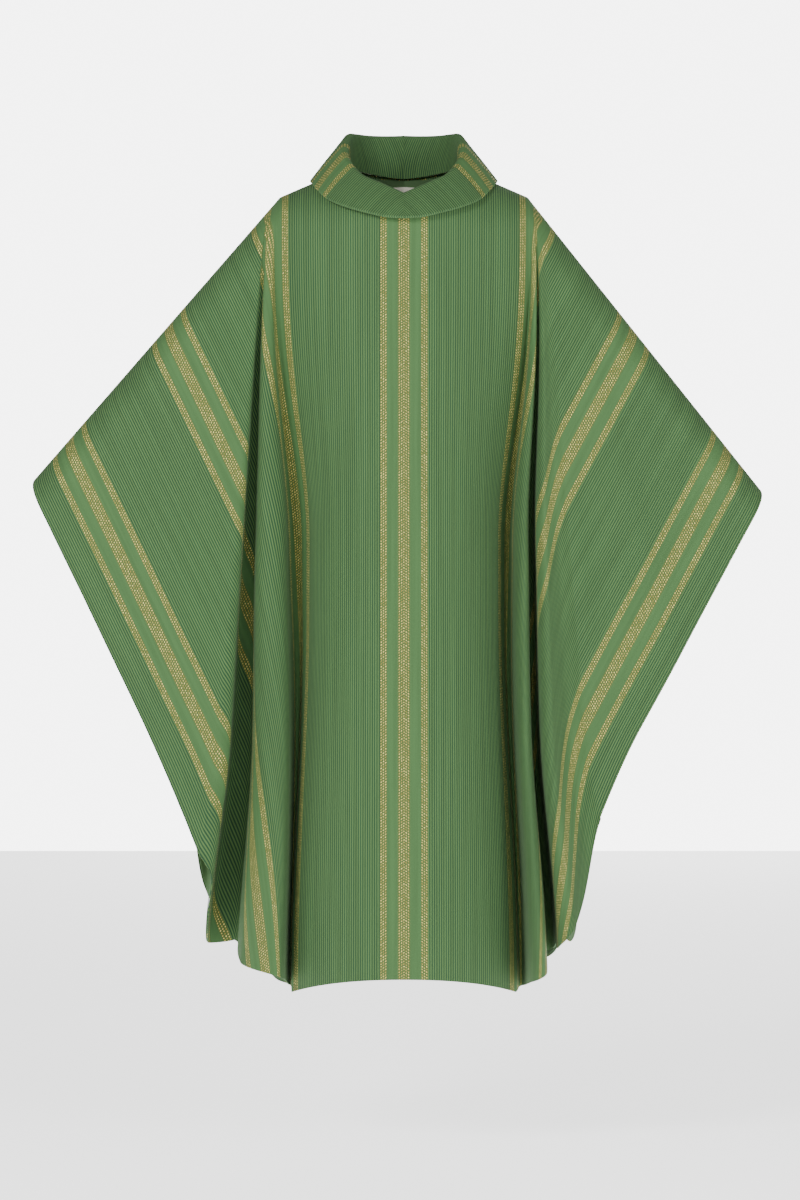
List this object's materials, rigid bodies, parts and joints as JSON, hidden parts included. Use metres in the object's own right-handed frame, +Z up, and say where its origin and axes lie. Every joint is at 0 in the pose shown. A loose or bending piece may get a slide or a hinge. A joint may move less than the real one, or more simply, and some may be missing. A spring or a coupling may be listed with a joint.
{
  "type": "chasuble",
  "caption": "Green chasuble with woven gold stripe groups, wide pointed wings over the arms and a rolled collar; both wings lift about the shoulders.",
  "frame": {"origin": "middle of the neck opening at the height of the shoulder seam", "axes": "+Z up towards the head, -Y the front, +X the wearer's left wing"},
  "size_m": [1.15, 0.3161, 1.337],
  "materials": {
    "woven_cloth": "fine ribbed weave, soft sheen, gold stripe groups",
    "facing_cloth": "matt plain weave",
    "collar_interlining": "matt stiff canvas",
    "stay_tape": "matt cotton tape",
    "label_ribbon": "smooth blank ribbon"
  },
  "bodies": {
    "body": {"front_panel": "woven_cloth", "back_panel": "woven_cloth", "front_hem_facing": "facing_cloth", "back_hem_facing": "facing_cloth", "front_neck_facing": "facing_cloth", "back_neck_facing": "facing_cloth", "shoulder_tape_left": "stay_tape", "shoulder_tape_right": "stay_tape", "neck_label": "label_ribbon", "top_collar_left": "woven_cloth", "top_collar_right": "woven_cloth", "collar_interlining_left": "collar_interlining", "collar_interlining_right": "collar_interlining", "under_collar_left": "woven_cloth", "under_collar_right": "woven_cloth"},
    "left_wing": {"front_wing_left": "woven_cloth", "back_wing_left": "woven_cloth", "front_wing_facing_left": "facing_cloth", "back_wing_facing_left": "facing_cloth", "wing_tape_left": "stay_tape"},
    "right_wing": {"front_wing_right": "woven_cloth", "back_wing_right": "woven_cloth", "front_wing_facing_right": "facing_cloth", "back_wing_facing_right": "facing_cloth", "wing_tape_right": "stay_tape"}
  },
  "joints": [
    {"name": "left_wing_lift", "type": "hinge", "parent": "body", "child": "left_wing", "pos_m": [0.195, 0, 0], "axis": [0, -1, 0], "range_deg": [0, 25]},
    {"name": "right_wing_lift", "type": "hinge", "parent": "body", "child": "right_wing", "pos_m": [-0.195, 0, 0], "axis": [0, 1, 0], "range_deg": [0, 25]}
  ]
}
